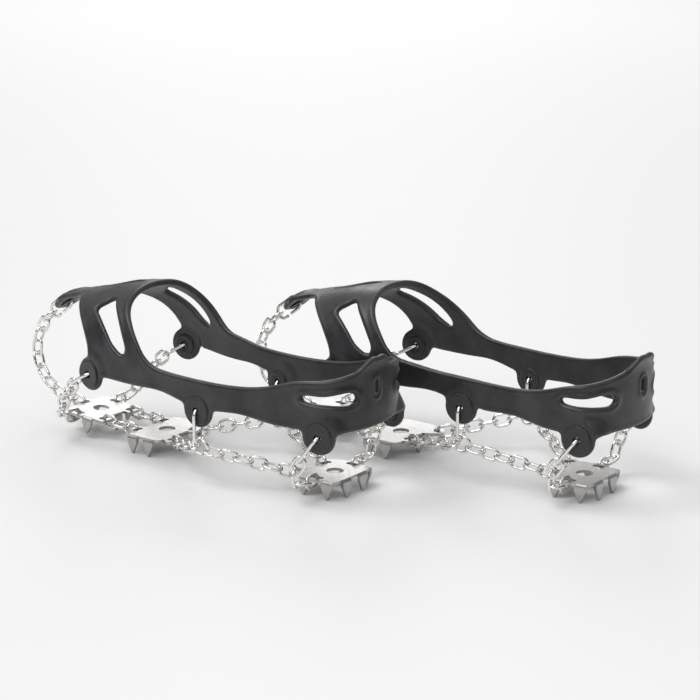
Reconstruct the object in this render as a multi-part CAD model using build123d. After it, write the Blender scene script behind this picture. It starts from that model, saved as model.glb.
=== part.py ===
from build123d import *
from math import cos, pi, sin, sqrt
import os

# A pair of microspikes in their worn shape, as they sit on a pair of hiking boots.
# Frame, in mm: +Y points to the toes, +X to the wearer's right, +Z up. The origin is on the sole
# line of the left boot, midway along its length, where the spike plates meet the sole.
# Everything is made for the left foot. The right one is its mirror image, moved by RIGHT_SHIFT.

RIGHT_SHIFT = (99.0, -137.0, 0.0)  # the right foot stands beside and behind the left

# Elastomer harness
RUBBER = 4.2  # wall thickness
LOBE_R = 12.0  # rubber round an eyelet
HEEL_TAB_TOP = 89.0
HEEL_TAB_HALF = 10.0
HEEL_SLOT = (5.0, 11.0)
HEEL_SLOT_Z = 67.5
WINDOW = (36.0, 6.5)  # opening in each rear quarter
WINDOW_Y = -134.0
WINDOW_Z = 62.5
# Plan of the band's outer face, lateral toe end, round the heel, medial toe end
BAND_PLAN = [
    (-50.0, 90.0), (-53.5, 67.0), (-55.0, 30.0), (-54.5, 0.0), (-53.5, -34.0), (-49.5, -80.0),
    (-45.0, -112.0), (-41.0, -131.0), (-29.0, -144.5), (0.0, -150.0), (29.0, -144.5),
    (41.0, -131.0), (43.5, -112.0), (41.0, -80.0), (38.0, -34.0), (42.5, 10.0), (49.0, 45.0),
    (51.0, 67.0), (48.5, 90.0),
]
# Side view of the band, (y, z), both sides alike
BAND_FRONT_Z = 49.5  # lowest edge of the band and straps at the forefoot
BAND_TOP = [
    (-136, 75), (-117, 73), (-100, 67.5), (-84, 64), (-50, 62.5), (-12, 63.5), (18, 68), (60, 68),
]
BAND_BOTTOM = [
    (66, BAND_FRONT_Z), (45, BAND_FRONT_Z), (20, 48), (-2, 49), (-24, 45), (-50, 42.5), (-76, 44),
    (-97, 41), (-136, 40.5),
]
# Rear view of the heel cup, (x, z), one half
HEEL_TOP = [(HEEL_TAB_HALF, HEEL_TAB_TOP), (13.0, 83.0), (26.0, 78.5), (42.0, 74.5)]
HEEL_BOTTOM_Z = 40.5
CUP_Y = -125.0  # the heel cup's edges are cut from behind as far forwards as this
CUP_DEPTH = 40.0
HEEL_Y = -150.0  # outer face of the heel
# Cross sections of the forefoot saddle: y, lateral half width, medial half width, crown height
SADDLE = [
    (-10.0, 54.7, 40.0, 117.0), (20.0, 55.0, 44.0, 113.0), (50.0, 54.5, 49.7, 108.5),
    (75.0, 52.5, 50.3, 104.5), (100.0, 48.0, 47.0, 97.5), (126.0, 38.0, 38.0, 91.0),
    (152.0, 24.0, 24.0, 77.0),
]
SADDLE_BASE = 52.0  # the walls are upright below this height
SADDLE_POWER = 2.4  # superellipse: 2 is round, more is squarer
# Outlines on the saddle, (y, g), where g is measured up the flank at 45 degrees
STRAP_FRONT = [
    (31, -3), (38, 8), (47, 18), (57, 30), (70, 42), (80, 52), (84, 80),
    (106, 80), (104, 62), (98, 50), (84, 34), (77, 24), (71, 14), (66, 5), (62, -3),
]
STRAP_REAR = [
    (2, 2), (11, 9), (19, 18), (26, 28), (34, 42), (40, 58), (44, 80),
    (66, 80), (60, 62), (52, 47), (41, 32), (35, 20), (28, 8), (37, -3), (2, -3),
]
BRIDGE = [(50, 84), (50, 62), (62, 47), (74, 45), (86, 47), (98, 58), (100, 84)]
TOE_TAB = [(94, 84), (94, 56), (112, 55), (130, 51), (139, 49), (139, 84)]
LENS = (42.0, 13.0)  # opening in the bridge between the straps
LENS_Y = 83.0
LENS_Z = 90.0
THROUGH = 14.0  # a cutter's reach on each side of a wall
BEYOND = 100.0  # longer than any blank that is cut to shape

# Eyelets
GROMMET_R = 10.0
GROMMET_FLANGE = 1.2
GROMMET_BARREL_R = 4.0
GROMMET_BORE_R = 2.5
SEAT_GAP = 0.2  # flat seat round a grommet's flange
SEAT_DEPTH = 8.0
WASHER_R = 8.0
WASHER_T = 1.2

# Steel wire pieces
WIRE = 2.2  # chain wire
LINK = (15.0, 10.5)  # outer length and width of a chain link
HOOK_WIRE = 2.4
HOOK = (26.4, 12.4)  # outer length and width of a split hook
HOOK_SPLIT = (9.0, 12.5)  # where the inner leg is open, from the hook's lower end
RING_R = 6.5  # arch ring, to the middle of its wire
RING_LEAN = 0.25  # how far an arch ring leans in towards the sole
RING_SPREAD = 0.35  # how far below the middle of a ring its two chains pull
PLAY = 0.3  # gap between linked wires
LINK_REACH = LINK[0] / 2 - WIRE / 2  # link centre to the middle of its end wire
PITCH = LINK[0] - 2 * WIRE - PLAY
HOOK_REACH = HOOK[0] - HOOK_WIRE  # end to end, to the middle of the wire
HOOK_LIFT = 0.9  # the hook's upper end rides this far above the middle of its bore
HOOK_TO_JOINT = HOOK_WIRE / 2 + WIRE / 2 + PLAY - (LINK_REACH - PITCH / 2)

# Spike plates
PLATE = 2.0
WEB = 3.0  # steel left between a plate's slot and its edge
SLOT = (8.0, 4.5)
SLOT_CORNER = 1.5
EAR = (16.0, 13.0)  # a rounded ear round each slot
EAR_CORNER = 3.0
PLATE_CORNER = 5.0
HOLE_R = 6.0  # hole in the middle of a plate
TOOTH_W = 9.0
TOOTH_H = 11.0
TOOTH_TIP = 1.2
TOOTH_SHOULDER = 4.0  # a tooth keeps its full width this far down
TOOTH_ROOT = 2.0  # flat strip that joins a tooth to its plate
BEND_R = 2.6
WEB_PLAY = 0.8  # lets a plate rock a little in its links
WEB_REACH = WEB / 2 + WEB_PLAY + WIRE / 2  # web centre to the middle of the link's end wire
LAST_REACH = PITCH / 2 + LINK_REACH - WEB_REACH  # last joint to web centre
TOE_PLATE = (0.0, 109.0, 2.5)
TOE_PLATE_TILT = 5.0
TOE_PLATE_SIZE = (42.0, 32.0)
BALL_PLATE = (0.0, 43.0, -1.0)
BALL_PLATE_SIZE = (52.0, 30.0)
HEEL_PLATE = (0.0, -111.0, -1.0)
HEEL_PLATE_SIZE = (42.0, 32.0)
# Teeth: x, y of the bend on its plate, and the way the tooth faces
TOE_TEETH = [(-12, 14, 90), (12, 14, 90), (-19, -7, 180), (19, -7, 0), (0, -14, -90)]
BALL_TEETH = [(-24, 9, 180), (-24, -6, 180), (24, 9, 0), (24, -6, 0), (0, 13, 90), (0, -13, -90)]
HEEL_TEETH = [
    (-19, 10, 180), (19, 10, 0), (-19, -10, 180), (19, -10, 0), (-9, -14, -90), (9, -14, -90),
]

# Chain runs: links in each, and where its web sits on the plate
TOE_LINKS = 10
TOE_WEB_Y = 20.0
FRONT_LINKS = 6
FRONT_WEB = (22.0, 4.0)
HEEL_LINKS = 4
HEEL_WEB_X = 22.0
ARCH_LINKS = 6
ARCH_FRONT_WEB_X = (-18.0, 12.0)  # lateral, medial
ARCH_REAR_WEB_X = (-17.0, 11.0)
BRIDGE_WEB = (14.0, -20.0)


def unit(v):
    return Vector(*v).normalized()


def band_point(y, side):
    """Outer face of the band where it crosses y, with its outward direction."""
    half = BAND_PLAN[:10] if side < 0 else BAND_PLAN[9:][::-1]
    for (x0, y0), (x1, y1) in zip(half, half[1:]):
        if y1 <= y <= y0:
            x = x0 + (x1 - x0) * (y - y0) / (y1 - y0)
            return Vector(x, y, 0), unit((side * (y0 - y1), -side * (x0 - x1), 0))
    raise ValueError(y)


def eyelet(name, y, z, side, pull):
    """Middle of the rubber at an eyelet, outward direction, and direction of pull in its plane."""
    point, out = band_point(y, side)
    middle = point - out * (RUBBER / 2) + Vector(0, 0, z)
    pull = Vector(*pull)
    return name, middle, out, (pull - out * pull.dot(out)).normalized()


TOE_OUT = unit((0, 0.6, 0.8))
EYELETS = [
    ("toe", Vector(0, 139, 84) - TOE_OUT * (RUBBER / 2), TOE_OUT, unit((0, 0.8, -0.6))),
    eyelet("front_lateral", 67, 49, -1, (0.2, 0.85, -0.49)),
    eyelet("front_medial", 67, 49, 1, (-0.2, 0.85, -0.49)),
    eyelet("arch_lateral", -34, 41, -1, (0, 0, -1)),
    eyelet("arch_medial", -34, 41, 1, (0, 0, -1)),
    eyelet("heel_lateral", -129, 37, -1, (0, 0.6, -0.79)),
    eyelet("heel_medial", -129, 37, 1, (0, 0.6, -0.79)),
]


def facets(points, plane, length, both=False):
    """A straight-sided closed outline drawn on a plane and extruded."""
    face = plane * make_face(Polyline(*points, close=True))
    return extrude(face, length, both=both)


def plan_face(inset):
    """Plan of the band's outer face, or of its inner face when inset by the wall."""
    path = Spline(*BAND_PLAN)
    count = 48
    points = []
    for i in range(count + 1):
        along = path.tangent_at(i / count)
        here = path.position_at(i / count)
        points.append(here + Vector(-along.Y, along.X, 0) * inset)
    edge = Spline(*points)
    return make_face([edge, Line(edge @ 1, edge @ 0)])


def band():
    ring = extrude(plan_face(0), BEYOND) - extrude(plan_face(RUBBER), BEYOND)
    side_plane = Plane(origin=(0, 0, 0), x_dir=(0, 1, 0), z_dir=(1, 0, 0))
    side = facets([*BAND_TOP, *BAND_BOTTOM], side_plane, BEYOND, both=True)
    rear_plane = Plane(origin=(0, CUP_Y, 0), x_dir=(1, 0, 0), z_dir=(0, -1, 0))
    half = [*HEEL_TOP, (42.0, HEEL_BOTTOM_Z)]
    cup = facets([*half, *[(-x, z) for x, z in half[::-1]]], rear_plane, CUP_DEPTH)
    return ring & (side + cup)


def saddle_face(y, lateral, medial, crown, inset):
    points = []
    for step in range(13):
        angle = pi * step / 12
        across = abs(cos(angle)) ** (2 / SADDLE_POWER)
        rise = sin(angle) ** (2 / SADDLE_POWER)
        half = -(lateral - inset) if step < 6 else medial - inset
        points.append((half * across, y, SADDLE_BASE + (crown - inset - SADDLE_BASE) * rise))
    foot_l = (-(lateral - inset), y, 20)
    foot_r = (medial - inset, y, 20)
    arch = Spline(*points)
    return make_face([arch, Line(points[-1], foot_r), Line(foot_r, foot_l), Line(foot_l, points[0])])


def forefoot():
    outer = loft([saddle_face(*row, 0) for row in SADDLE])
    inner = loft([saddle_face(*row, RUBBER) for row in SADDLE])
    saddle = outer - inner
    pieces = []
    for side in (-1, 1):
        flank = Plane(origin=(0, 0, 0), x_dir=(0, side, 0), z_dir=(side, 0, 1))
        above = Box(BEYOND, 3 * BEYOND, BEYOND, align=(Align.CENTER, Align.CENTER, Align.MIN))
        half = saddle & Pos(side * BEYOND / 2, 0, BAND_FRONT_Z) * above
        for shape in (STRAP_FRONT, STRAP_REAR, BRIDGE, TOE_TAB):
            drawn = [(side * y, g) for y, g in shape]
            pieces.append(half & facets(drawn, flank, 2 * BEYOND, both=True))
    return pieces


def disc(centre, out, radius, low, high):
    """A round disc about an eyelet's axis, from low to high along the outward direction."""
    return Plane(origin=centre + out * low, z_dir=out) * Cylinder(
        radius, high - low, align=(Align.CENTER, Align.CENTER, Align.MIN)
    )


def harness():
    body = band()
    for piece in forefoot():
        body = body + piece
    for _, centre, out, _ in EYELETS:
        body = body + disc(centre, out, LOBE_R, -RUBBER / 2, RUBBER / 2)
    for _, centre, out, _ in EYELETS:
        seat = GROMMET_R + SEAT_GAP
        body = body - disc(centre, out, seat, RUBBER / 2, RUBBER / 2 + SEAT_DEPTH)
        body = body - disc(centre, out, seat, -RUBBER / 2 - SEAT_DEPTH, -RUBBER / 2)
        body = body - disc(centre, out, GROMMET_BARREL_R, -RUBBER, RUBBER)
    body = body - Pos(0, LENS_Y, LENS_Z) * extrude(lens_face(), 2 * THROUGH, both=True)
    upright = slot_bar(HEEL_SLOT[1], HEEL_SLOT[0], (0, -1, 0), (0, 0, 1))
    body = body - Pos(0, HEEL_Y, HEEL_SLOT_Z) * upright
    for side in (-1, 1):
        point, out = band_point(WINDOW_Y, side)
        across = Vector(-out.Y, out.X, 0)
        cut = slot_bar(WINDOW[0], WINDOW[1], out, across)
        body = body - Pos(point.X, point.Y, WINDOW_Z) * cut
    return body


def lens_face():
    """A pointed oval along Y."""
    length, width = LENS
    left = ThreePointArc((0, -length / 2), (-width / 2, 0), (0, length / 2))
    right = ThreePointArc((0, length / 2), (width / 2, 0), (0, -length / 2))
    return make_face([left, right])


def slot_bar(length, width, axis, along):
    """A round-ended cutter through the wall, centred on the origin."""
    plane = Plane(origin=(0, 0, 0), x_dir=along, z_dir=axis)
    return extrude(plane * SlotOverall(length, width), THROUGH, both=True)


def grommets():
    group = []
    for _, centre, out, _ in EYELETS:
        flange = disc(centre, out, GROMMET_R, RUBBER / 2, RUBBER / 2 + GROMMET_FLANGE)
        barrel = disc(centre, out, GROMMET_BARREL_R, -RUBBER / 2 - WASHER_T, RUBBER / 2 + 0.1)
        group.append(flange + barrel - disc(centre, out, GROMMET_BORE_R, -9, 9))
    return group


def washers():
    group = []
    for _, centre, out, _ in EYELETS:
        ring = disc(centre, out, WASHER_R, -RUBBER / 2 - WASHER_T, -RUBBER / 2)
        group.append(ring - disc(centre, out, GROMMET_BARREL_R, -9, 9))
    return group


def oval(length, width, wire):
    """A closed oval of round wire, long axis X, lying in the XY plane, centred on the origin."""
    radius = (width - wire) / 2
    straight = (length - wire) / 2 - radius
    path = Wire([
        Line((-straight, radius, 0), (straight, radius, 0)),
        ThreePointArc((straight, radius, 0), (straight + radius, 0, 0), (straight, -radius, 0)),
        Line((straight, -radius, 0), (-straight, -radius, 0)),
        ThreePointArc((-straight, -radius, 0), (-straight - radius, 0, 0), (-straight, radius, 0)),
    ])
    profile = Plane(origin=(-straight, radius, 0), z_dir=(1, 0, 0)) * Circle(wire / 2)
    return sweep(profile, path=path)


def frame(centre, along, normal):
    """A place whose X runs along a link and whose Z is the normal of the link's plane."""
    return Plane(origin=centre, x_dir=along, z_dir=normal).location


def hook(centre, out, pull):
    """A split oval through the eyelet, in the plane of the outward and pull directions."""
    length, width = HOOK
    ring = oval(length, width, HOOK_WIRE)
    low, high = HOOK_SPLIT
    gap_x = length / 2 - (low + high) / 2
    gap = Pos(gap_x, (HOOK_WIRE - width) / 2, 0) * Box(high - low, HOOK_WIRE + 1, HOOK_WIRE + 1)
    middle = centre + pull * (HOOK_REACH / 2 - HOOK_LIFT)
    return frame(middle, pull, pull.cross(out)) * (ring - gap)


def bezier(start, pull, end, push, swell, t):
    a = start
    b = start + pull * swell
    c = end - push * swell
    s = 1 - t
    return a * s ** 3 + b * (3 * s * s * t) + c * (3 * s * t * t) + end * t ** 3


def walk(curve, count):
    """Points a chain pitch apart along a sampled curve, and the length left over."""
    points = [curve[0]]
    for here, ahead in zip(curve, curve[1:]):
        while (ahead - points[-1]).length >= PITCH and len(points) < count:
            near = (here - points[-1]).length
            far = (ahead - points[-1]).length
            points.append(here + (ahead - here) * ((PITCH - near) / (far - near)))
    return points, (curve[-1] - points[-1]).length, len(points) == count


def joints_along(start, pull, end, push, links):
    """Joint points of a chain that leaves along pull and arrives along push, its length fixed."""
    low, high = 1.0, 90.0
    for _ in range(40):
        swell = (low + high) / 2
        curve = [bezier(start, pull, end, push, swell, i / 300) for i in range(301)]
        points, left, reached = walk(curve, links)
        if reached:
            high = swell
        else:
            low = swell
    points[links - 1:] = [end]
    return points


def chain(joints, last, out_start, out_end, first_flat=True):
    """Links between joint points. last is the far joint of the last link, or its web."""
    stops = [*joints, last]
    group = []
    for i, (here, ahead) in enumerate(zip(stops, stops[1:])):
        along = (ahead - here).normalized()
        share = (i + 0.5) / len(joints)
        out = out_start * (1 - share) + out_end * share
        out = (out - along * out.dot(along)).normalized()
        flat = (i % 2 == 0) == first_flat
        normal = out if flat else along.cross(out)
        group.append(frame(here + along * (PITCH / 2), along, normal) * oval(*LINK, WIRE))
    return group


DOWN = Vector(0, 0, -1)


def leg(eyelet_row, web, push, links):
    """Chain from a hook's lower end to a web on a spike plate."""
    _, centre, out, pull = eyelet_row
    start = centre + pull * (HOOK_REACH - HOOK_LIFT - HOOK_TO_JOINT)
    push = unit(push)
    end = web - push * LAST_REACH
    joints = joints_along(start, pull, end, push, links)
    return chain(joints, web, out, DOWN)


def arch_ring(eyelet_row):
    """Ring under an arch hook: its solid, and its front and rear wire points with tangents."""
    _, centre, out, pull = eyelet_row
    top = centre + pull * (HOOK_REACH - HOOK_LIFT - HOOK_WIRE - PLAY)
    hang = (pull - out * RING_LEAN).normalized()
    side = out.cross(hang).normalized()
    if side.Y < 0:
        side = -side
    middle = top + hang * RING_R
    solid = frame(middle, side, side.cross(hang)) * Torus(RING_R, HOOK_WIRE / 2)
    front = middle + (side + hang * RING_SPREAD).normalized() * RING_R
    rear = middle + (hang * RING_SPREAD - side).normalized() * RING_R
    front_tangent = (hang - side * RING_SPREAD).normalized()
    rear_tangent = (hang + side * RING_SPREAD).normalized()
    return solid, front, rear, front_tangent, rear_tangent


def web_from(point, x, links, forward):
    """Web at a chosen x, level with the plates, that a straight chain from a ring just reaches."""
    reach = (links - 1) * PITCH + LAST_REACH - HOOK_TO_JOINT
    z = BALL_PLATE[2]
    dy = sqrt(reach ** 2 - (point.X - x) ** 2 - (point.Z - z) ** 2)
    return Vector(x, point.Y + (dy if forward else -dy), z)


def run_from_ring(point, tangent, web, links):
    """Straight chain from a ring's wire to a web."""
    along = (web - point).normalized()
    start = point - along * HOOK_TO_JOINT
    joints = [start + along * (PITCH * i) for i in range(links)]
    return chain(joints, web, tangent, DOWN)


def bridge_run(rear_web, front_web):
    """Three links between two plates, upright at both webs."""
    along = (front_web - rear_web).normalized()
    first = rear_web - along * (PITCH / 2 - (LINK_REACH - WEB_REACH))
    joints = [first + along * (PITCH * i) for i in range(3)]
    return chain(joints, joints[-1] + along * PITCH, DOWN, DOWN, first_flat=False)


BRIDGE_RUN = 2 * PITCH + 2 * (LINK_REACH - WEB_REACH)


def tooth(place, turn):
    """A tooth bent down from a plate's edge. It faces out along local +X after the turn."""
    top = PLATE / 2
    leg_out = PLATE / 2 + BEND_R
    profile = [
        (-BEND_R - TOOTH_ROOT, top), (0, top), (leg_out, top), (leg_out, -TOOTH_H - top),
        (leg_out - PLATE, -TOOTH_H - top), (leg_out - PLATE, -top), (-BEND_R - TOOTH_ROOT, -top),
    ]
    section = make_face(Plane.XZ * Polyline(*profile, close=True))
    blank = extrude(section, TOOTH_W / 2, both=True)
    corners = blank.edges().filter_by(Axis.Y)
    blank = fillet(corners.sort_by_distance((leg_out, 0, top))[:1], BEND_R)
    inner = blank.edges().filter_by(Axis.Y).sort_by_distance((leg_out - PLATE, 0, -top))[:1]
    blank = fillet(inner, BEND_R - PLATE + 0.1)
    half = TOOTH_W / 2
    point = [
        (-half, PLATE), (half, PLATE), (half, -TOOTH_SHOULDER), (TOOTH_TIP / 2, -TOOTH_H - top),
        (-TOOTH_TIP / 2, -TOOTH_H - top), (-half, -TOOTH_SHOULDER),
    ]
    front = Plane(origin=(0, 0, 0), x_dir=(0, 1, 0), z_dir=(1, 0, 0))
    shape = facets(point, front, BEYOND, both=True)
    return Pos(*place) * Rot(0, 0, turn) * (blank & shape)


def plate(size, teeth, ears):
    """A stamped plate about its own centre. ears are (x, y, direction towards the plate)."""
    body = extrude(RectangleRounded(*size, PLATE_CORNER), PLATE / 2, both=True)
    for x, y, inward in ears:
        angle = Vector(1, 0, 0).get_signed_angle(inward, Vector(0, 0, 1))
        ear = RectangleRounded(*EAR, EAR_CORNER)
        place = Pos(x, y, 0) * Rot(0, 0, angle) * Pos((EAR[0] - WEB) / 2, 0, 0)
        body = body + place * extrude(ear, PLATE / 2, both=True)
    for x, y, turn in teeth:
        body = body + tooth((x, y, 0), turn)
    for x, y, inward in ears:
        angle = Vector(1, 0, 0).get_signed_angle(inward, Vector(0, 0, 1))
        hole = RectangleRounded(SLOT[1], SLOT[0], SLOT_CORNER)
        place = Pos(x, y, 0) * Rot(0, 0, angle) * Pos(WEB / 2 + SLOT[1] / 2, 0, 0)
        body = body - place * extrude(hole, PLATE, both=True)
    return body - Cylinder(HOLE_R, 3 * PLATE)


def plate_place(centre, tilt=0.0):
    return Pos(*centre) * Rot(tilt, 0, 0)


def local(place, point):
    """A point of the foot's frame in a plate's own frame."""
    return (place.inverse() * Pos(*point)).position


def local_direction(place, vector):
    start = local(place, Vector(0, 0, 0))
    return local(place, vector) - start


def left_parts():
    """Every node of the left microspike, by name, as a list of solids."""
    rows = {row[0]: row for row in EYELETS}
    parts = {"harness": [harness()], "eyelet_grommets": grommets(), "eyelet_washers": washers()}
    for name, centre, out, pull in EYELETS:
        parts[name + "_hook"] = [hook(centre, out, pull)]

    toe_place = plate_place(TOE_PLATE, TOE_PLATE_TILT)
    ball_place = plate_place(BALL_PLATE)
    heel_place = plate_place(HEEL_PLATE)
    toe_ears, ball_ears, heel_ears = [], [], []

    def ear(place, ears, web, inward):
        spot = local(place, web)
        ears.append((spot.X, spot.Y, local_direction(place, inward)))

    toe_push = (toe_place * Pos(0, -1, 0)).position - toe_place.position
    toe_web = (toe_place * Pos(0, TOE_WEB_Y, 0)).position
    parts["toe_chain"] = leg(rows["toe"], toe_web, toe_push, TOE_LINKS)
    ear(toe_place, toe_ears, toe_web, toe_push)
    for turn, (side, word) in enumerate(((-1, "lateral"), (1, "medial"))):
        web = (toe_place * Pos(side * FRONT_WEB[0], FRONT_WEB[1], 0)).position
        push = unit((-side, -0.1, 0))
        parts[f"front_{word}_chain"] = leg(rows[f"front_{word}"], web, push, FRONT_LINKS)
        ear(toe_place, toe_ears, web, push)
        web = Vector(side * HEEL_WEB_X, HEEL_PLATE[1], HEEL_PLATE[2])
        push = unit((-side, 0, 0))
        parts[f"heel_{word}_chain"] = leg(rows[f"heel_{word}"], web, push, HEEL_LINKS)
        ear(heel_place, heel_ears, web, push)

        ring, front, rear, front_tangent, rear_tangent = arch_ring(rows[f"arch_{word}"])
        parts[f"arch_{word}_ring"] = [ring]
        web = web_from(front, ARCH_FRONT_WEB_X[turn], ARCH_LINKS, True)
        parts[f"arch_{word}_front_chain"] = run_from_ring(front, front_tangent, web, ARCH_LINKS)
        ear(ball_place, ball_ears, web, (web - front).normalized())
        web = web_from(rear, ARCH_REAR_WEB_X[turn], ARCH_LINKS, False)
        parts[f"arch_{word}_rear_chain"] = run_from_ring(rear, rear_tangent, web, ARCH_LINKS)
        ear(heel_place, heel_ears, web, (web - rear).normalized())

        toe_rear = (toe_place * Pos(side * BRIDGE_WEB[0], BRIDGE_WEB[1], 0)).position
        drop = toe_rear.Z - BALL_PLATE[2]
        ball_y = toe_rear.Y - sqrt(BRIDGE_RUN ** 2 - drop ** 2)
        ball_front = Vector(toe_rear.X, ball_y, BALL_PLATE[2])
        parts[f"ball_{word}_chain"] = bridge_run(ball_front, toe_rear)
        ear(toe_place, toe_ears, toe_rear, Vector(0, 1, 0))
        ear(ball_place, ball_ears, ball_front, Vector(0, -1, 0))

    toe = plate(TOE_PLATE_SIZE, TOE_TEETH, toe_ears)
    ball = plate(BALL_PLATE_SIZE, BALL_TEETH, ball_ears)
    heel = plate(HEEL_PLATE_SIZE, HEEL_TEETH, heel_ears)
    parts["toe_spike_plate"] = [toe_place * toe]
    parts["ball_spike_plate"] = [ball_place * ball]
    parts["heel_spike_plate"] = [heel_place * heel]
    return parts


def main():
    os.makedirs("parts", exist_ok=True)
    for name, solids in left_parts().items():
        group = Compound(children=[s for piece in solids for s in piece.solids()])
        export_step(group, f"parts/left_{name}.step")
        right = Pos(*RIGHT_SHIFT) * group.mirror(Plane.YZ)
        export_step(Compound(children=[*right.solids()]), f"parts/right_{name}.step")


main()
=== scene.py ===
import math

import bpy
import numpy as np
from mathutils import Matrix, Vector


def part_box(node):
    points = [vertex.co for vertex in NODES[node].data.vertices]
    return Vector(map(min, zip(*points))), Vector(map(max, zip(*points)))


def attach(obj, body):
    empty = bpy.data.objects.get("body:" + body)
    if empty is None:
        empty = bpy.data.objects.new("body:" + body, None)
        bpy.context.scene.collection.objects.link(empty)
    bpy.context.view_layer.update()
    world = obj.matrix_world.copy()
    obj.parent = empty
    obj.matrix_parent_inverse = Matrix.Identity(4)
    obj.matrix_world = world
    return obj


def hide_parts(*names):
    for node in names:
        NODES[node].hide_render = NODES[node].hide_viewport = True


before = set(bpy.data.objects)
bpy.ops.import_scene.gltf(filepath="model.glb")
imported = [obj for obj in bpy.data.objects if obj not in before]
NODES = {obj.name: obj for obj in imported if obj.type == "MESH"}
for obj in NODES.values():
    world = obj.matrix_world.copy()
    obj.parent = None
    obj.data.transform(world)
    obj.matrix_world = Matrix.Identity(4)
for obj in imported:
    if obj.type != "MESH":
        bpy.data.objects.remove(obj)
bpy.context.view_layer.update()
FEET = ("left", "right")
MM = 0.001
rng = np.random.default_rng(7)
HARNESS_STEP = 0.87  # grid in mm; at 0.87 the harness surface comes out closed

# ---------------------------------------------------------------- sizes in mm, close to the CAD part's
SHIFT = (99.0, -137.0, 0.0)  # the right foot stands beside and behind the left
RUBBER = 4.2  # wall thickness
LOBE_R = 12.0  # rubber round an eyelet
PATH_POINTS = 900
# plan of the band's outer face, lateral toe end, round the heel, medial toe end
BAND_PLAN = np.array([
    (-50.0, 90.0), (-53.5, 67.0), (-55.0, 30.0), (-54.5, 0.0), (-53.5, -34.0), (-49.5, -80.0),
    (-45.0, -112.0), (-41.0, -131.0), (-29.0, -144.5), (0.0, -150.0), (26.5, -143.2),
    (41.0, -131.0), (43.5, -112.0), (41.0, -80.0), (38.0, -34.0), (42.5, 10.0), (49.0, 45.0),
    (51.0, 67.0), (48.5, 90.0),
])
HEEL_Y = -131.0  # behind this the band's edges are measured round the heel
# station along the band (round the heel, then forwards along Y), height of its top and bottom edge
BAND_TOP = np.array([
    (0, 89.0), (7.5, 88.8), (11, 86.5), (15, 82.6), (22, 79.6), (32, 77.6), (45, 75.6), (62, 73.0),
    (79, 67.8), (95, 64.4), (112, 62.9), (129, 62.5), (148, 62.8), (167, 63.6), (182, 65.5),
    (200, 68.0), (240, 68.0),
])
BAND_BOTTOM = np.array([
    (0, 40.5), (48, 40.5), (70, 40.6), (82, 41.2), (92, 42.6), (103, 43.8), (116, 43.4), (129, 42.5),
    (142, 43.0), (155, 45.0), (166, 47.6), (177, 49.0), (190, 48.7), (210, 48.6), (240, 49.5),
])
BAND_END = 66.0
# cross sections of the forefoot: y, lateral half width, medial half width, crown height
SADDLE = np.array([
    (-30.0, 54.0, 38.0, 119.0), (-10.0, 54.7, 40.0, 117.0), (20.0, 55.0, 44.0, 113.0),
    (50.0, 54.5, 49.7, 108.5), (75.0, 52.5, 50.3, 104.5), (100.0, 48.0, 47.0, 97.5),
    (126.0, 38.0, 38.0, 91.0), (152.0, 24.0, 24.0, 77.0), (160.0, 19.0, 19.0, 72.0),
])
SADDLE_BASE = 52.0  # the walls are upright below this height
SADDLE_POWER = 2.4
# front strap, rear strap, bridge and toe tab: along Y, and up the flank at 45 degrees
STRAPS = [
    [(31, -3), (38, 8), (47, 18), (57, 30), (70, 42), (80, 52), (84, 90),
     (106, 90), (104, 62), (98, 50), (84, 34), (77, 24), (71, 14), (66, 5), (62, -3)],
    [(2, 2), (11, 9), (19, 18), (26, 28), (34, 42), (40, 58), (44, 90),
     (66, 90), (60, 62), (52, 47), (41, 32), (35, 20), (28, 8), (37, -3), (2, -3)],
    [(50, 90), (50, 60), (60, 43), (70, 41), (80, 44), (90, 56), (92, 90)],
    [(86, 90), (86, 56), (104, 55), (122, 51), (131, 49), (131, 90)],
]
STRAP_LEAN = 8.0  # how far forwards the straps lean by the time they reach the bridge
STRAP_FOOT = 57.0  # straps are drawn down to this height, where the band takes over
STRAP_REAR = -8.0  # no strap behind this
LENS = (42.0, 13.0)  # pointed slot in the bridge
LENS_Y = 83.0
HEEL_SLOT = (5.0, 11.0)  # upright slot in the heel tab
HEEL_SLOT_Z = 67.5
TAB_ROLL = 3.4  # how far the top of the heel tab curls outwards
BEAD = 0.30  # swelling along free edges, round a window and round the heel slot
WINDOW_BEAD = 0.85
SLOT_BEAD = 0.60
EDGE_R = 1.9  # rounding of every free edge
# how softly outlines run into each other
STRAP_BLEND = 7.0
BAND_BLEND = 8.0
LOBE_BLEND = 4.5
OPENING_BLEND = 1.0
WINDOW_Y = -134.0  # middle of the window in each rear quarter
WINDOW_Z = 62.6
# along the wall from the window's middle (towards the heel), half height, lift of its middle
WINDOW = np.array([
    (-19.0, 0.0, 0.2), (-17.5, 1.9, 0.2), (-13.0, 2.5, 0.1), (-6.0, 2.6, -0.2), (0.0, 2.9, -0.2),
    (7.0, 3.7, 0.2), (13.0, 4.4, 0.5), (16.5, 4.2, 0.6), (19.5, 2.6, 0.6), (20.8, 0.0, 0.6),
])
# eyelets: a grommet outside, a washer round its barrel inside
GROMMET_R = 10.0
FLANGE = 1.2
BARREL_R = 4.0
BORE_R = 2.5
WASHER_R = 8.0
WASHER_T = 1.2
# steel wire pieces: outer length and width of a link and a hook, and where the hook is open
WIRE = 2.2
LINK = (15.0, 10.5)
HOOK_WIRE = 2.4
HOOK = (26.4, 12.4)
HOOK_SPLIT = (9.0, 12.5)
HOOK_LIFT = 0.9
RING_R = 6.5  # arch ring, to the middle of its wire
OVAL_POINTS = 72
HOOK_POINTS = 160
LINK_SIDES = 14
HOOK_SIDES = 16
WELD = 0.10  # how far a link's weld stands out
PLATE_BEVEL = 0.3
FAR = 60.0  # stands for "nowhere near" in a distance
SKETCH_STEP = 0.5  # grid that flat outlines are read from


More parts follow.
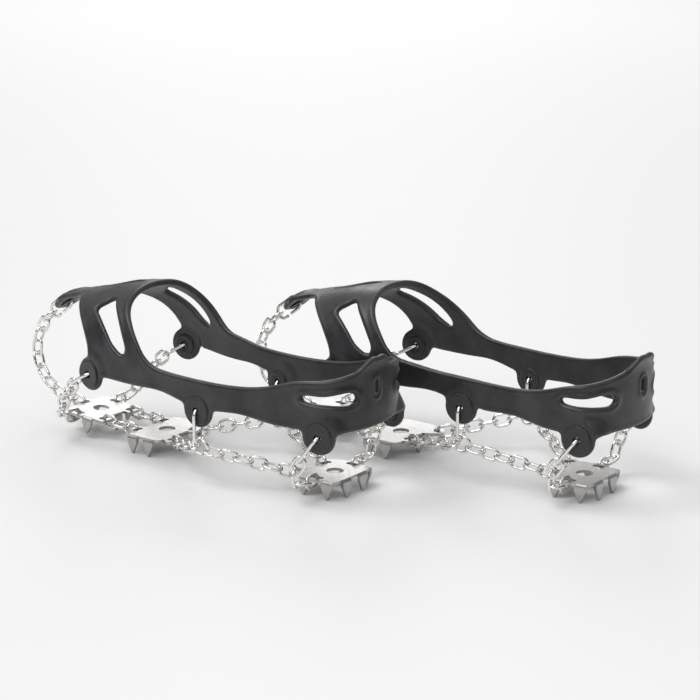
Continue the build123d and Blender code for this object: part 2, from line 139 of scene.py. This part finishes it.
def unit(v):
    v = np.asarray(v, float)
    return v / np.linalg.norm(v)


def band_point(y, side):
    half = BAND_PLAN[:10] if side < 0 else BAND_PLAN[9:][::-1]
    for (x0, y0), (x1, y1) in zip(half, half[1:]):
        if y1 <= y <= y0:
            x = x0 + (x1 - x0) * (y - y0) / (y1 - y0)
            return np.array((x, y, 0.0)), unit((side * (y0 - y1), -side * (x0 - x1), 0.0))
    raise ValueError(y)


def eyelet(name, y, z, side, pull):
    point, out = band_point(y, side)
    middle = point - out * (RUBBER / 2) + np.array((0, 0, z))
    pull = np.asarray(pull, float)
    return name, middle, out, unit(pull - out * pull.dot(out))


TOE_OUT = unit((0, 0.6, 0.8))
EYELETS = [
    ("toe", np.array((0, 139.0, 84.0)) - TOE_OUT * (RUBBER / 2), TOE_OUT, unit((0, 0.8, -0.6))),
    eyelet("front_lateral", 67, 49, -1, (0.2, 0.85, -0.49)),
    eyelet("front_medial", 67, 49, 1, (-0.2, 0.85, -0.49)),
    eyelet("arch_lateral", -34, 41, -1, (0, 0, -1)),
    eyelet("arch_medial", -34, 41, 1, (0, 0, -1)),
    eyelet("heel_lateral", -129, 37, -1, (0, 0.6, -0.79)),
    eyelet("heel_medial", -129, 37, 1, (0, 0.6, -0.79)),
]


# ---------------------------------------------------------------- small maths
def natural_cubic(t, y, at):
    """Natural cubic spline through y at t, read at the values in at."""
    t, y, at = np.asarray(t, float), np.asarray(y, float), np.asarray(at, float)
    n, h = len(t), np.diff(t)
    system = np.eye(n)
    right = np.zeros((n,) + y.shape[1:])
    for i in range(1, n - 1):
        system[i, i - 1], system[i, i], system[i, i + 1] = h[i - 1], 2 * (h[i - 1] + h[i]), h[i]
        right[i] = 3 * ((y[i + 1] - y[i]) / h[i] - (y[i] - y[i - 1]) / h[i - 1])
    c = np.linalg.solve(system, right)
    i = np.clip(np.searchsorted(t, at) - 1, 0, n - 2)
    flat = (slice(None),) + (None,) * (y.ndim - 1)
    dx, hi = (np.clip(at, t[0], t[-1]) - t[i])[flat], h[i][flat]
    b = (y[i + 1] - y[i]) / hi - hi * (2 * c[i] + c[i + 1]) / 3
    return y[i] + b * dx + c[i] * dx ** 2 + (c[i + 1] - c[i]) / (3 * hi) * dx ** 3


def smoothstep(a, b, x):
    t = np.clip((x - a) / (b - a), 0, 1)
    return t * t * (3 - 2 * t)


def smin(a, b, k):
    h = np.clip(0.5 + 0.5 * (b - a) / k, 0, 1)
    return b * (1 - h) + a * h - k * h * (1 - h)


def smax(a, b, k):
    return -smin(-a, -b, k)


def rounded(a, b, r):
    """Inside both a and b, with a corner of radius r."""
    u, v = np.maximum(a + r, 0), np.maximum(b + r, 0)
    return np.minimum(np.maximum(a, b), -r) + np.sqrt(u * u + v * v)


def chaikin(points, rounds):
    p = np.asarray(points, float)
    for _ in range(rounds):
        q = np.roll(p, -1, axis=0)
        p = np.stack([p * 0.75 + q * 0.25, p * 0.25 + q * 0.75], axis=1).reshape(-1, 2)
    return p


def polygon_distance(points, u, v):
    """Signed distance to a closed outline, negative inside."""
    best = np.full(u.shape, 1e9)
    inside = np.zeros(u.shape, bool)
    for (ax, ay), (bx, by) in zip(points, np.roll(points, -1, axis=0)):
        ex, ey = bx - ax, by - ay
        wx, wy = u - ax, v - ay
        t = np.clip((wx * ex + wy * ey) / (ex * ex + ey * ey + 1e-12), 0, 1)
        best = np.minimum(best, (wx - ex * t) ** 2 + (wy - ey * t) ** 2)
        cross = (ay > v) != (by > v)
        with np.errstate(divide="ignore", invalid="ignore"):
            inside ^= cross & (u < (bx - ax) * (v - ay) / (by - ay) + ax)
    return np.where(inside, -1, 1) * np.sqrt(best)


def lookup(table, u0, v0, step, u, v):
    """Reads a table on a regular grid between its points."""
    fu = np.clip((u - u0) / step, 0, table.shape[0] - 1.001)
    fv = np.clip((v - v0) / step, 0, table.shape[1] - 1.001)
    i, j = fu.astype(np.int32), fv.astype(np.int32)
    a, b = (fu - i).astype(np.float32), (fv - j).astype(np.float32)
    return (table[i, j] * (1 - a) * (1 - b) + table[i + 1, j] * a * (1 - b)
            + table[i, j + 1] * (1 - a) * b + table[i + 1, j + 1] * a * b)


def surface_nets(f, origin, step):
    """Vertices and quads of the surface where the field f changes sign."""
    neg = f < 0
    count = np.zeros(tuple(s - 1 for s in f.shape), np.uint8)
    corners = [(i, j, k) for i in (0, 1) for j in (0, 1) for k in (0, 1)]
    n = f.shape
    for i, j, k in corners:
        count += neg[i:n[0] - 1 + i, j:n[1] - 1 + j, k:n[2] - 1 + k]
    cells = np.argwhere((count > 0) & (count < 8))
    ident = np.full(count.shape, -1, np.int32)
    ident[tuple(cells.T)] = np.arange(len(cells))
    total = np.zeros((len(cells), 3))
    hits = np.zeros(len(cells))
    for a in corners:
        for axis in range(3):
            if a[axis]:
                continue
            b = tuple(a[m] + (m == axis) for m in range(3))
            fa = f[tuple((cells + a).T)]
            fb = f[tuple((cells + b).T)]
            cut = (fa < 0) != (fb < 0)
            t = fa[cut] / (fa[cut] - fb[cut])
            p = np.tile(np.asarray(a, float), (cut.sum(), 1))
            p[:, axis] += t
            total[cut] += p
            hits[cut] += 1
    verts = origin + step * (cells + total / hits[:, None])
    quads = []
    for axis in range(3):
        one, two = [m for m in range(3) if m != axis]
        low = [slice(None)] * 3
        high = [slice(None)] * 3
        low[axis], high[axis] = slice(0, -1), slice(1, None)
        low, high = tuple(low), tuple(high)
        change = np.argwhere(neg[low] != neg[high])
        change = change[(change[:, one] > 0) & (change[:, two] > 0)
                        & (change[:, one] < n[one] - 1) & (change[:, two] < n[two] - 1)]
        out = neg[low][tuple(change.T)]
        loop = []
        for da, db in ((1, 1), (0, 1), (0, 0), (1, 0)):
            c = change.copy()
            c[:, one] -= da
            c[:, two] -= db
            loop.append(ident[tuple(c.T)])
        quad = np.stack(loop, axis=1)
        flip = out if axis != 1 else ~out
        quad[~flip] = quad[~flip][:, ::-1]
        quads.append(quad)
    return verts, np.concatenate(quads)


# ---------------------------------------------------------------- the harness, as a field
def band_path():
    """The band's plan as a fine line: points, length from the heel, station, tangents, index of the heel."""
    chord = np.concatenate([[0], np.cumsum(np.hypot(*np.diff(BAND_PLAN, axis=0).T))])
    path = natural_cubic(chord, BAND_PLAN, np.linspace(0, chord[-1], PATH_POINTS))
    run = np.concatenate([[0], np.cumsum(np.hypot(*np.diff(path, axis=0).T))])
    heel = np.argmin(path[:, 1])
    arc = run - run[heel]
    station = np.abs(arc)
    for rows in (slice(0, heel), slice(heel, None)):
        edge = station[rows][np.argmin(np.abs(path[rows, 1] - HEEL_Y))]
        ahead = path[rows, 1] > HEEL_Y
        station[rows] = np.where(ahead, edge + path[rows, 1] - HEEL_Y, station[rows])
    tangent = np.gradient(path, axis=0)
    tangent /= np.linalg.norm(tangent, axis=1)[:, None]
    return path, arc, station, tangent, heel


def plan_fields(x, y, path, arc, station, tangent, heel):
    """On the ground plane: distance out from the band, station along it, length round it from the heel."""
    normal = np.stack([tangent[:, 1], -tangent[:, 0]], axis=1)
    gx, gy = np.meshgrid(x, y, indexing="ij")
    spots = np.stack([gx.ravel(), gy.ravel()], axis=1)
    near = np.empty(len(spots), int)
    batch = 8000
    for a in range(0, len(spots), batch):
        d = spots[a:a + batch, None, :] - path[None, :, :]
        near[a:a + batch] = np.argmin(np.einsum("ijk,ijk->ij", d, d), axis=1)
    away = spots - path[near]
    plan = np.einsum("ij,ij->i", away, normal[near]).reshape(gx.shape)
    slide = np.einsum("ij,ij->i", away, tangent[near])
    sign = np.where(near < heel, -1.0, 1.0)
    tau = (station[near] + sign * slide).reshape(gx.shape)
    around = (arc[near] + slide).reshape(gx.shape)
    if np.mean(plan[np.abs(gx) < 20]) > 0:
        plan = -plan
    return plan, tau, around


def skin_field(plan, around, X, Y, Z, step):
    """Distance out from the outer face, and each eyelet's distance from its own axis."""
    rows = natural_cubic(SADDLE[:, 0], SADDLE[:, 1:], Y.ravel())
    half = np.where(X < 0, rows[None, :, 0, None], rows[None, :, 1, None])
    crown = rows[None, :, 2, None] - SADDLE_BASE
    above = np.maximum(Z - SADDLE_BASE, 0)
    q = ((np.abs(X) / half) ** SADDLE_POWER + (above / crown) ** SADDLE_POWER) ** (1 / SADDLE_POWER)
    gq = np.gradient(q, step)
    saddle = (q - 1) / np.sqrt(gq[0] ** 2 + gq[1] ** 2 + gq[2] ** 2 + 1e-9)
    mix = smoothstep(-10, 16, Y)
    skin = plan[:, :, None] * (1 - mix) + saddle * mix
    axial = []
    for _, centre, out, _ in EYELETS:
        px, py, pz = X - centre[0], Y - centre[1], Z - centre[2]
        lift = px * out[0] + py * out[1] + pz * out[2]
        rho = np.sqrt(np.maximum(px ** 2 + py ** 2 + pz ** 2 - lift ** 2, 0))
        near_by = 1 - smoothstep(14, 22, np.abs(lift))
        seat = (1 - smoothstep(LOBE_R - 0.5, LOBE_R + 8, rho)) * near_by
        skin = skin * (1 - seat) + (lift - RUBBER / 2) * seat
        axial.append((rho + FAR * (1 - near_by)).astype(np.float32))
    roll = TAB_ROLL * smoothstep(78, 90, Z) * (1 - smoothstep(10, 24, np.abs(around)))[:, :, None]
    skin = skin - roll * (Y < -100)
    return skin.astype(np.float32), axial


def band_field(tau, Y, Z):
    """Distance to the band's outline, between its top and bottom edges."""
    at = np.arange(0, 240.0)
    where = np.clip(np.abs(tau), 0, 238)
    edges = []
    for table in (BAND_TOP, BAND_BOTTOM):
        height = natural_cubic(table[:, 0], table[:, 1], at)
        level = np.interp(where, at, height)[:, :, None]
        slope = np.interp(where, at, np.gradient(height))[:, :, None]
        edges.append((level, np.sqrt(1 + slope ** 2)))
    (top, top_scale), (bottom, bottom_scale) = edges
    band = smax((Z - top) / top_scale, (bottom - Z) / bottom_scale, 2.0)
    return smax(band, Y - BAND_END + 0 * Z, 4.0)


def strap_field(skin, X, Y, Z, step, u, v, uu, vv):
    """Straps, bridge and toe tab, drawn on the flank at 45 degrees and measured along the skin."""
    flat = None
    for outline in STRAPS:
        points = np.array(outline, float)
        points[:, 0] += STRAP_LEAN * smoothstep(10, 48, points[:, 1])
        d = polygon_distance(chaikin(points, 3), uu, vv)
        flat = d if flat is None else smin(flat, d, STRAP_BLEND)
    g = (Z - np.abs(X)) / math.sqrt(2)
    g, yy = np.broadcast_arrays(g, Y)
    strap = lookup(flat.astype(np.float32), u[0], v[0], SKETCH_STEP, yy, g)
    ns = np.gradient(skin, step)
    gs = np.gradient(strap, step)
    dot = ns[0] * gs[0] + ns[1] * gs[1] + ns[2] * gs[2]
    strap = strap / np.sqrt(np.maximum(gs[0] ** 2 + gs[1] ** 2 + gs[2] ** 2 - dot ** 2, 0.12))
    strap = np.where(Y < STRAP_REAR, FAR, strap)
    return smax(strap, STRAP_FOOT - Z + 0 * strap, 3.0)


def window_field(path, arc, around, Z, u, v, uu, vv):
    """The window in each rear quarter, drawn on the wall from its middle towards the heel."""
    upper = [(w, lift + h) for w, h, lift in WINDOW]
    lower = [(w, lift - h) for w, h, lift in WINDOW[-2:0:-1]]
    shift_u, shift_v = 60, 40
    pane = polygon_distance(chaikin(upper + lower, 2), uu - shift_u, vv - shift_v).astype(np.float32)
    window = np.float32(FAR)
    for side in (-1, 1):
        point, _ = band_point(WINDOW_Y, side)
        middle = arc[np.argmin(np.hypot(path[:, 0] - point[0], path[:, 1] - point[1]))]
        same_side = np.sign(around) == np.sign(middle)
        along = np.where(same_side, abs(middle) - np.abs(around), -70)[:, :, None]
        along, up = np.broadcast_arrays(along, Z - WINDOW_Z)
        d = lookup(pane, u[0] - shift_u, v[0] - shift_v, SKETCH_STEP, along, up)
        window = np.minimum(window, d)
    return window


def harness_surface(step):
    """The left harness in mm: outlines cut from a wall that follows the boot, with swollen, rounded edges."""
    low = np.array((-62.0, -159.0, 22.0))
    high = np.array((58.0, 156.0, 122.0))
    x, y, z = (np.arange(a, b, step) for a, b in zip(low, high))
    X, Y, Z = x[:, None, None], y[None, :, None], z[None, None, :]
    path, arc, station, tangent, heel = band_path()
    plan, tau, around = plan_fields(x, y, path, arc, station, tangent, heel)
    skin, axial = skin_field(plan, around, X, Y, Z, step)

    u, v = np.arange(-20, 160, SKETCH_STEP), np.arange(-20, 100, SKETCH_STEP)
    uu, vv = np.meshgrid(u, v, indexing="ij")
    straps = strap_field(skin, X, Y, Z, step, u, v, uu, vv)
    outline = smin(band_field(tau, Y, Z), straps, BAND_BLEND)
    for rho in axial:
        outline = smin(outline, rho - LOBE_R, LOBE_BLEND)
    window = window_field(path, arc, around, Z, u, v, uu, vv)
    outline = smax(outline, -window, OPENING_BLEND)
    # pointed slot in the bridge, and upright slot in the heel tab
    lens_r = (LENS[0] ** 2 / 4 + LENS[1] ** 2 / 4) / LENS[1]
    lens = np.sqrt((np.abs(X) + lens_r - LENS[1] / 2) ** 2 + (Y - LENS_Y) ** 2) - lens_r
    outline = smax(outline, -np.where(Z > 80, lens, FAR), OPENING_BLEND)
    bar = (HEEL_SLOT[1] - HEEL_SLOT[0]) / 2
    past_bar = np.maximum(np.abs(Z - HEEL_SLOT_Z) - bar, 0)
    slot = np.where(Y < -120, np.hypot(around[:, :, None], past_bar) - HEEL_SLOT[0] / 2, FAR)
    outline = smax(outline, -slot, OPENING_BLEND)

    swell = BEAD * np.exp(-((outline + 2.3) / 1.3) ** 2)
    swell += WINDOW_BEAD * np.exp(-((window - 2.2) / 2.6) ** 2)
    swell += SLOT_BEAD * np.exp(-((slot - 2.0) / 1.6) ** 2)
    for rho in axial:
        swell *= smoothstep(GROMMET_R + 0.4, GROMMET_R + 2.2, rho)
    field = rounded(np.abs(skin - (swell - RUBBER) / 2) - (swell + RUBBER) / 2, outline, EDGE_R)
    for rho in axial:
        field = np.maximum(field, BARREL_R - 0.1 - rho)
    return surface_nets(field.astype(np.float32), np.array([x[0], y[0], z[0]]), step)


# ---------------------------------------------------------------- mesh helpers
def new_object(name, verts, faces, material):
    mesh = bpy.data.meshes.new(name)
    mesh.from_pydata([tuple(v) for v in verts], [], [tuple(int(i) for i in f) for f in faces])
    mesh.validate()
    mesh.update()
    mesh.polygons.foreach_set("use_smooth", [True] * len(mesh.polygons))
    obj = bpy.data.objects.new(name, mesh)
    bpy.context.scene.collection.objects.link(obj)
    mesh.materials.append(material)
    return obj


def placed(verts, foot):
    """Left-foot points in mm to the shared frame in metres, mirrored and moved for the right foot."""
    v = np.array(verts, float)
    if foot == "right":
        v = v * (-1, 1, 1) + SHIFT
    return v * MM


def turned(faces, foot):
    return [tuple(reversed(f)) for f in faces] if foot == "right" else [tuple(f) for f in faces]


# ---------------------------------------------------------------- materials
def material(name, roughness, metallic=0.0):
    m = bpy.data.materials.new(name)
    m.use_nodes = True
    nodes, links = m.node_tree.nodes, m.node_tree.links
    shader = nodes["Principled BSDF"]
    shader.inputs["Roughness"].default_value = roughness
    shader.inputs["Metallic"].default_value = metallic
    return m, nodes, links, shader


def noise(nodes, links, scale, detail, rough, source):
    n = nodes.new("ShaderNodeTexNoise")
    n.inputs["Scale"].default_value = scale
    n.inputs["Detail"].default_value = detail
    n.inputs["Roughness"].default_value = rough
    links.new(source, n.inputs["Vector"])
    return n.outputs["Fac"]


def ramp(nodes, links, fac, stops):
    r = nodes.new("ShaderNodeValToRGB")
    links.new(fac, r.inputs["Fac"])
    while len(r.color_ramp.elements) < len(stops):
        r.color_ramp.elements.new(0.5)
    for element, (position, colour) in zip(r.color_ramp.elements, stops):
        element.position = position
        element.color = (*colour, 1)
    return r.outputs["Color"]


def rubber_material(name, dark, light):
    m, nodes, links, shader = material(name, 0.5)
    where = nodes.new("ShaderNodeTexCoord").outputs["Object"]
    broad = noise(nodes, links, 38.0, 3.0, 0.6, where)
    links.new(ramp(nodes, links, broad, [(0.34, dark), (0.70, light)]), shader.inputs["Base Color"])
    wear = noise(nodes, links, 150.0, 5.0, 0.6, where)
    spread = ramp(nodes, links, wear, [(0.3, (0.30,) * 3), (0.75, (0.46,) * 3)])
    links.new(spread, shader.inputs["Roughness"])
    grain = noise(nodes, links, 1700.0, 2.0, 0.5, where)
    bump = nodes.new("ShaderNodeBump")
    bump.inputs["Strength"].default_value = 0.10
    bump.inputs["Distance"].default_value = 0.0004
    links.new(grain, bump.inputs["Height"])
    links.new(bump.outputs["Normal"], shader.inputs["Normal"])
    shader.inputs["Specular IOR Level"].default_value = 0.5
    shader.inputs["Sheen Weight"].default_value = 0.12  # a dusty bloom at the edges
    shader.inputs["Sheen Roughness"].default_value = 0.45
    return m


def steel_material(name, colour, rough_low, rough_high, scale):
    m, nodes, links, shader = material(name, rough_low, 1.0)
    where = nodes.new("ShaderNodeTexCoord").outputs["Object"]
    spots = noise(nodes, links, scale, 4.0, 0.6, where)
    dull = tuple(c * 0.86 for c in colour)
    links.new(ramp(nodes, links, spots, [(0.25, dull), (0.6, colour)]), shader.inputs["Base Color"])
    other = noise(nodes, links, scale * 2.3, 4.0, 0.6, where)
    spread = ramp(nodes, links, other, [(0.3, (rough_low,) * 3), (0.75, (rough_high,) * 3)])
    links.new(spread, shader.inputs["Roughness"])
    return m


RUBBER_MAT = rubber_material("harness elastomer", (0.009, 0.0086, 0.010), (0.034, 0.0325, 0.036))
DISC_MAT = rubber_material("eyelet nylon", (0.014, 0.014, 0.0155), (0.022, 0.022, 0.0245))
WIRE_MAT = steel_material("plated wire", (0.86, 0.84, 0.81), 0.12, 0.30, 420.0)
PLATE_MAT = steel_material("stamped stainless", (0.50, 0.49, 0.48), 0.28, 0.46, 180.0)

# ---------------------------------------------------------------- build
harness_verts, harness_quads = harness_surface(HARNESS_STEP)
for foot in FEET:
    body = f"{foot}_harness_body"
    faces = turned(harness_quads, foot)
    obj = new_object(f"{foot}_harness_rubber", placed(harness_verts, foot), faces, RUBBER_MAT)
    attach(obj, body)
    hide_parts(f"{foot}_harness")


def lathe(profile, segments=64):
    """A profile of (radius, height) turned about Z, closed back on itself."""
    n = len(profile)
    verts, faces = [], []
    for s in range(segments):
        a = 2 * math.pi * s / segments
        verts += [(r * math.cos(a), r * math.sin(a), h) for r, h in profile]
    for s in range(segments):
        t = (s + 1) % segments
        for i in range(n):
            j = (i + 1) % n
            faces.append((s * n + i, s * n + j, t * n + j, t * n + i))
    return np.array(verts), faces


def basis(x_dir, z_dir):
    z = unit(z_dir)
    x = unit(np.asarray(x_dir, float) - z * np.dot(x_dir, z))
    return np.stack([x, np.cross(z, x), z], axis=1)


def joined(pieces):
    verts, faces, base = [], [], 0
    for v, f in pieces:
        verts.append(v)
        faces += [tuple(i + base for i in face) for face in f]
        base += len(v)
    return np.concatenate(verts), faces


def grommet(centre, out, pull):
    """A disc with a slightly dished face and a barrel that ends just past the washer."""
    h = RUBBER / 2
    face = h + FLANGE
    back = -h - WASHER_T
    profile = [
        (BORE_R, h + 0.6), (BORE_R + 0.25, face - 0.15), (BORE_R + 0.8, face), (5.2, face - 0.12),
        (8.4, face - 0.05), (GROMMET_R - 0.5, face), (GROMMET_R - 0.1, face - 0.2), (GROMMET_R, face - 0.6),
        (GROMMET_R, h), (BARREL_R, h - 0.1), (BARREL_R, back), (BARREL_R - 0.5, back - 0.25),
        (BORE_R + 0.3, back - 0.2), (BORE_R, back + 0.2),
    ]
    v, f = lathe(profile)
    return v @ basis(pull, out).T + centre, f


def washer(centre, out, pull):
    h = -RUBBER / 2
    profile = [
        (BARREL_R, h), (WASHER_R, h), (WASHER_R, h - WASHER_T + 0.35), (WASHER_R - 0.35, h - WASHER_T),
        (BARREL_R + 0.2, h - WASHER_T), (BARREL_R, h - WASHER_T + 0.2),
    ]
    v, f = lathe(profile)
    return v @ basis(pull, out).T + centre, f


def oval_path(length, width, wire, count):
    """Points round a closed oval's centre line, with the way round as a share from 0 to 1."""
    radius = (width - wire) / 2
    straight = (length - wire) / 2 - radius
    total = 4 * straight + 2 * math.pi * radius
    points = []
    for s in np.linspace(0, total, count, endpoint=False):
        if s < 2 * straight:
            points.append((-straight + s, radius, 0))
            continue
        s -= 2 * straight
        if s < math.pi * radius:
            a = math.pi / 2 - s / radius
            points.append((straight + radius * math.cos(a), radius * math.sin(a), 0))
            continue
        s -= math.pi * radius
        if s < 2 * straight:
            points.append((straight - s, -radius, 0))
            continue
        s -= 2 * straight
        a = -math.pi / 2 - s / radius
        points.append((-straight + radius * math.cos(a), radius * math.sin(a), 0))
    return np.array(points)


def tube(path, radii, closed, sides):
    """A round bar along a flat path in the XY plane."""
    path = np.asarray(path, float)
    n = len(path)
    if closed:
        tangent = np.roll(path, -1, axis=0) - np.roll(path, 1, axis=0)
    else:
        tangent = np.gradient(path, axis=0)
    tangent /= np.linalg.norm(tangent, axis=1)[:, None]
    side = np.stack([-tangent[:, 1], tangent[:, 0], np.zeros(n)], axis=1)
    up = np.array((0, 0, 1.0))
    verts = []
    for p, s, r in zip(path, side, radii):
        for k in range(sides):
            a = 2 * math.pi * k / sides
            verts.append(p + r * (math.cos(a) * s + math.sin(a) * up))
    faces = []
    for i in range(n if closed else n - 1):
        j = (i + 1) % n
        for k in range(sides):
            m = (k + 1) % sides
            faces.append((i * sides + k, i * sides + m, j * sides + m, j * sides + k))
    if not closed:
        faces.append(tuple(range(sides)))
        faces.append(tuple((n - 1) * sides + k for k in reversed(range(sides))))
    return np.array(verts), faces


def link_shape():
    """A chain link, with its weld as a slight swelling on one long side."""
    path = oval_path(*LINK, WIRE, OVAL_POINTS)
    weld = np.exp(-((path[:, 0] - 0.6) / 0.75) ** 2) * (path[:, 1] < 0)
    radii = WIRE / 2 + WELD * weld
    return tube(path, radii, True, LINK_SIDES)


def hook_shape():
    """A split oval. X runs down the pull, Y outwards; the inner leg is open near the lower end."""
    length, width = HOOK
    path = oval_path(length, width, HOOK_WIRE, HOOK_POINTS)
    low, high = length / 2 - HOOK_SPLIT[1], length / 2 - HOOK_SPLIT[0]
    inner = path[:, 1] < -(width - HOOK_WIRE) / 2 + 0.01
    open_part = inner & (path[:, 0] > low) & (path[:, 0] < high)
    start = np.flatnonzero(open_part)[-1] + 1
    order = (np.arange(len(path)) + start) % len(path)
    order = order[~open_part[order]]
    path = path[order]
    first, last = path[0].copy(), path[-1].copy()
    first[0], last[0] = low, high
    path = np.vstack([[first], path, [last]])
    radii = np.full(len(path), HOOK_WIRE / 2)
    radii[[0, -1]] -= 0.25
    path[[1, -2], 0] = [low - 0.3, high + 0.3]
    return tube(path, radii, False, HOOK_SIDES)


def ring_shape():
    a = np.linspace(0, 2 * math.pi, OVAL_POINTS, endpoint=False)
    path = np.stack([RING_R * np.cos(a), RING_R * np.sin(a), 0 * a], axis=1)
    return tube(path, np.full(OVAL_POINTS, HOOK_WIRE / 2), True, HOOK_SIDES)


def loose_parts(obj):
    """Vertex groups of the separate solids in a CAD node, in the shared frame in mm."""
    mesh = obj.data
    co = np.zeros(len(mesh.vertices) * 3, np.float32)
    mesh.vertices.foreach_get("co", co)
    co = co.reshape(-1, 3).astype(float) / MM
    key = np.round(co, 3)
    _, inverse = np.unique(key, axis=0, return_inverse=True)
    inverse = inverse.reshape(-1)
    parent = np.arange(inverse.max() + 1)

    def root(i):
        while parent[i] != i:
            parent[i] = parent[parent[i]]
            i = parent[i]
        return i

    for p in mesh.polygons:
        ids = [root(inverse[v]) for v in p.vertices]
        for other in ids[1:]:
            parent[root(other)] = root(ids[0])
    roots = np.array([root(i) for i in inverse])
    return [co[roots == r] for r in np.unique(roots)]


def oval_frames(obj):
    """Centre and axes of each oval or ring in a CAD node: X along it, Z its normal."""
    frames = []
    for points in loose_parts(obj):
        low, high = points.min(0), points.max(0)
        centre = (low + high) / 2
        for _ in range(3):
            d = points - centre
            _, vectors = np.linalg.eigh(d.T @ d)
            x_dir, z_dir = vectors[:, 2], vectors[:, 0]
            y_dir = np.cross(z_dir, x_dir)
            axes = np.stack([x_dir, y_dir, z_dir], axis=1)
            span = d @ axes
            centre = centre + axes @ ((span.max(0) + span.min(0)) / 2)
        frames.append((centre, axes))
    return frames


for foot in FEET:
    body = f"{foot}_harness_body"
    rows = [(c, o, p) for _, c, o, p in EYELETS]
    v, f = joined([grommet(*row) for row in rows])
    obj = new_object(f"{foot}_eyelet_discs", placed(v, foot), turned(f, foot), DISC_MAT)
    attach(obj, body)
    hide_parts(f"{foot}_eyelet_grommets")
    v, f = joined([washer(*row) for row in rows])
    obj = new_object(f"{foot}_eyelet_backs", placed(v, foot), turned(f, foot), DISC_MAT)
    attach(obj, body)
    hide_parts(f"{foot}_eyelet_washers")
    hook_v, hook_f = hook_shape()
    for name, centre, out, pull in EYELETS:
        node = f"{foot}_{name}_hook"
        reach = HOOK[0] - HOOK_WIRE
        middle = centre + pull * (reach / 2 - HOOK_LIFT)
        axes = np.stack([pull, out, np.cross(pull, out)], axis=1)
        verts = placed(hook_v @ axes.T + middle, foot)
        obj = new_object(f"{node}_wire", verts, turned(hook_f, foot), WIRE_MAT)
        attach(obj, node + "_body")
        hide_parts(node)
    link_v, link_f = link_shape()
    ring_v, ring_f = ring_shape()
    for node in sorted(n for n in NODES if n.startswith(foot) and n.endswith(("_chain", "_ring"))):
        pieces = []
        ring = node.endswith("_ring")
        for centre, axes in oval_frames(NODES[node]):
            shape_v, shape_f = (ring_v, ring_f) if ring else (link_v, link_f)
            # a link's weld may lie on either long side
            flip = np.diag((1.0, -1.0, -1.0)) if rng.random() < 0.5 else np.eye(3)
            pieces.append((shape_v @ flip.T @ axes.T + centre, shape_f))
        v, f = joined(pieces)
        obj = new_object(f"{node}_wire", v * MM, f, WIRE_MAT)
        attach(obj, node + "_body")
        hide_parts(node)

for name, node in NODES.items():
    node.data.materials.clear()
    if name.endswith("_plate"):
        node.data.materials.append(PLATE_MAT)
        bevel = node.modifiers.new("edges", "BEVEL")
        bevel.width = PLATE_BEVEL * MM
        bevel.segments = 2
        bevel.limit_method = "ANGLE"
        bevel.angle_limit = math.radians(40)

# ---------------------------------------------------------------- floor, light and camera
FLOOR_SIZE = 30
FLOOR_GAP = 0.0003
floor_z = min(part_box(n)[0].z for n in NODES)
bpy.ops.mesh.primitive_plane_add(size=FLOOR_SIZE, location=(0, 0, floor_z - FLOOR_GAP))
floor = bpy.context.object
floor.name = "floor"
m, nodes, links, shader = material("floor", 0.55)
shader.inputs["Base Color"].default_value = (0.80, 0.80, 0.80, 1)
shader.inputs["Specular IOR Level"].default_value = 0.20
floor.data.materials.append(m)

# a studio whose ceiling is bright and whose walls are darker, so that steel has something to mirror
world = bpy.data.worlds.new("studio")
bpy.context.scene.world = world
world.use_nodes = True
nodes, links = world.node_tree.nodes, world.node_tree.links
direction = nodes.new("ShaderNodeTexCoord").outputs["Generated"]
split = nodes.new("ShaderNodeSeparateXYZ")
links.new(direction, split.inputs["Vector"])
walls = ramp(nodes, links, split.outputs["Z"], [
    (0.0, (0.50, 0.50, 0.51)), (0.10, (0.14, 0.14, 0.15)), (0.40, (0.22, 0.22, 0.23)),
    (0.62, (1.0, 1.0, 1.0)),
])
links.new(walls, nodes["Background"].inputs["Color"])
nodes["Background"].inputs["Strength"].default_value = 0.80


def area(name, location, target, size, power):
    """A rectangular lamp that points at a target."""
    light = bpy.data.lights.new(name, "AREA")
    light.shape = "RECTANGLE"
    light.size, light.size_y = size
    light.energy = power
    obj = bpy.data.objects.new(name, light)
    bpy.context.scene.collection.objects.link(obj)
    obj.location = location
    obj.rotation_euler = (Vector(target) - Vector(location)).to_track_quat("-Z", "Y").to_euler()


MIDDLE = (0.04, -0.08, 0.05)
sun = bpy.data.objects.new("overhead", bpy.data.lights.new("overhead", "SUN"))
sun.data.energy = 1.15
sun.data.angle = math.radians(35)
sun.rotation_euler = (math.radians(-18), math.radians(-22), 0)
bpy.context.scene.collection.objects.link(sun)
area("key", (-3.2, -1.3, 2.7), MIDDLE, (2.0, 2.2), 40.0)
area("kicker", (2.7, 2.1, 1.9), MIDDLE, (1.2, 2.0), 22.0)

AZIMUTH, ELEVATION = math.radians(-52.4), math.radians(15.5)
TARGET = Vector((0.0449, -0.0892, 0.0714))
DISTANCE = 1.441
FOCAL_LENGTH = 106.9714  # in mm, on a sensor 36 mm wide
level = math.cos(ELEVATION)
back = Vector((math.sin(AZIMUTH) * level, -math.cos(AZIMUTH) * level, math.sin(ELEVATION)))
lens = bpy.data.cameras.new("camera")
lens.lens = FOCAL_LENGTH
lens.clip_start = 0.05
camera = bpy.data.objects.new("camera", lens)
bpy.context.scene.collection.objects.link(camera)
camera.location = TARGET + back * DISTANCE
camera.rotation_mode = "QUATERNION"
camera.rotation_quaternion = (-back).to_track_quat("-Z", "Y")
bpy.context.scene.camera = camera
bpy.context.scene.view_settings.view_transform = "Standard"
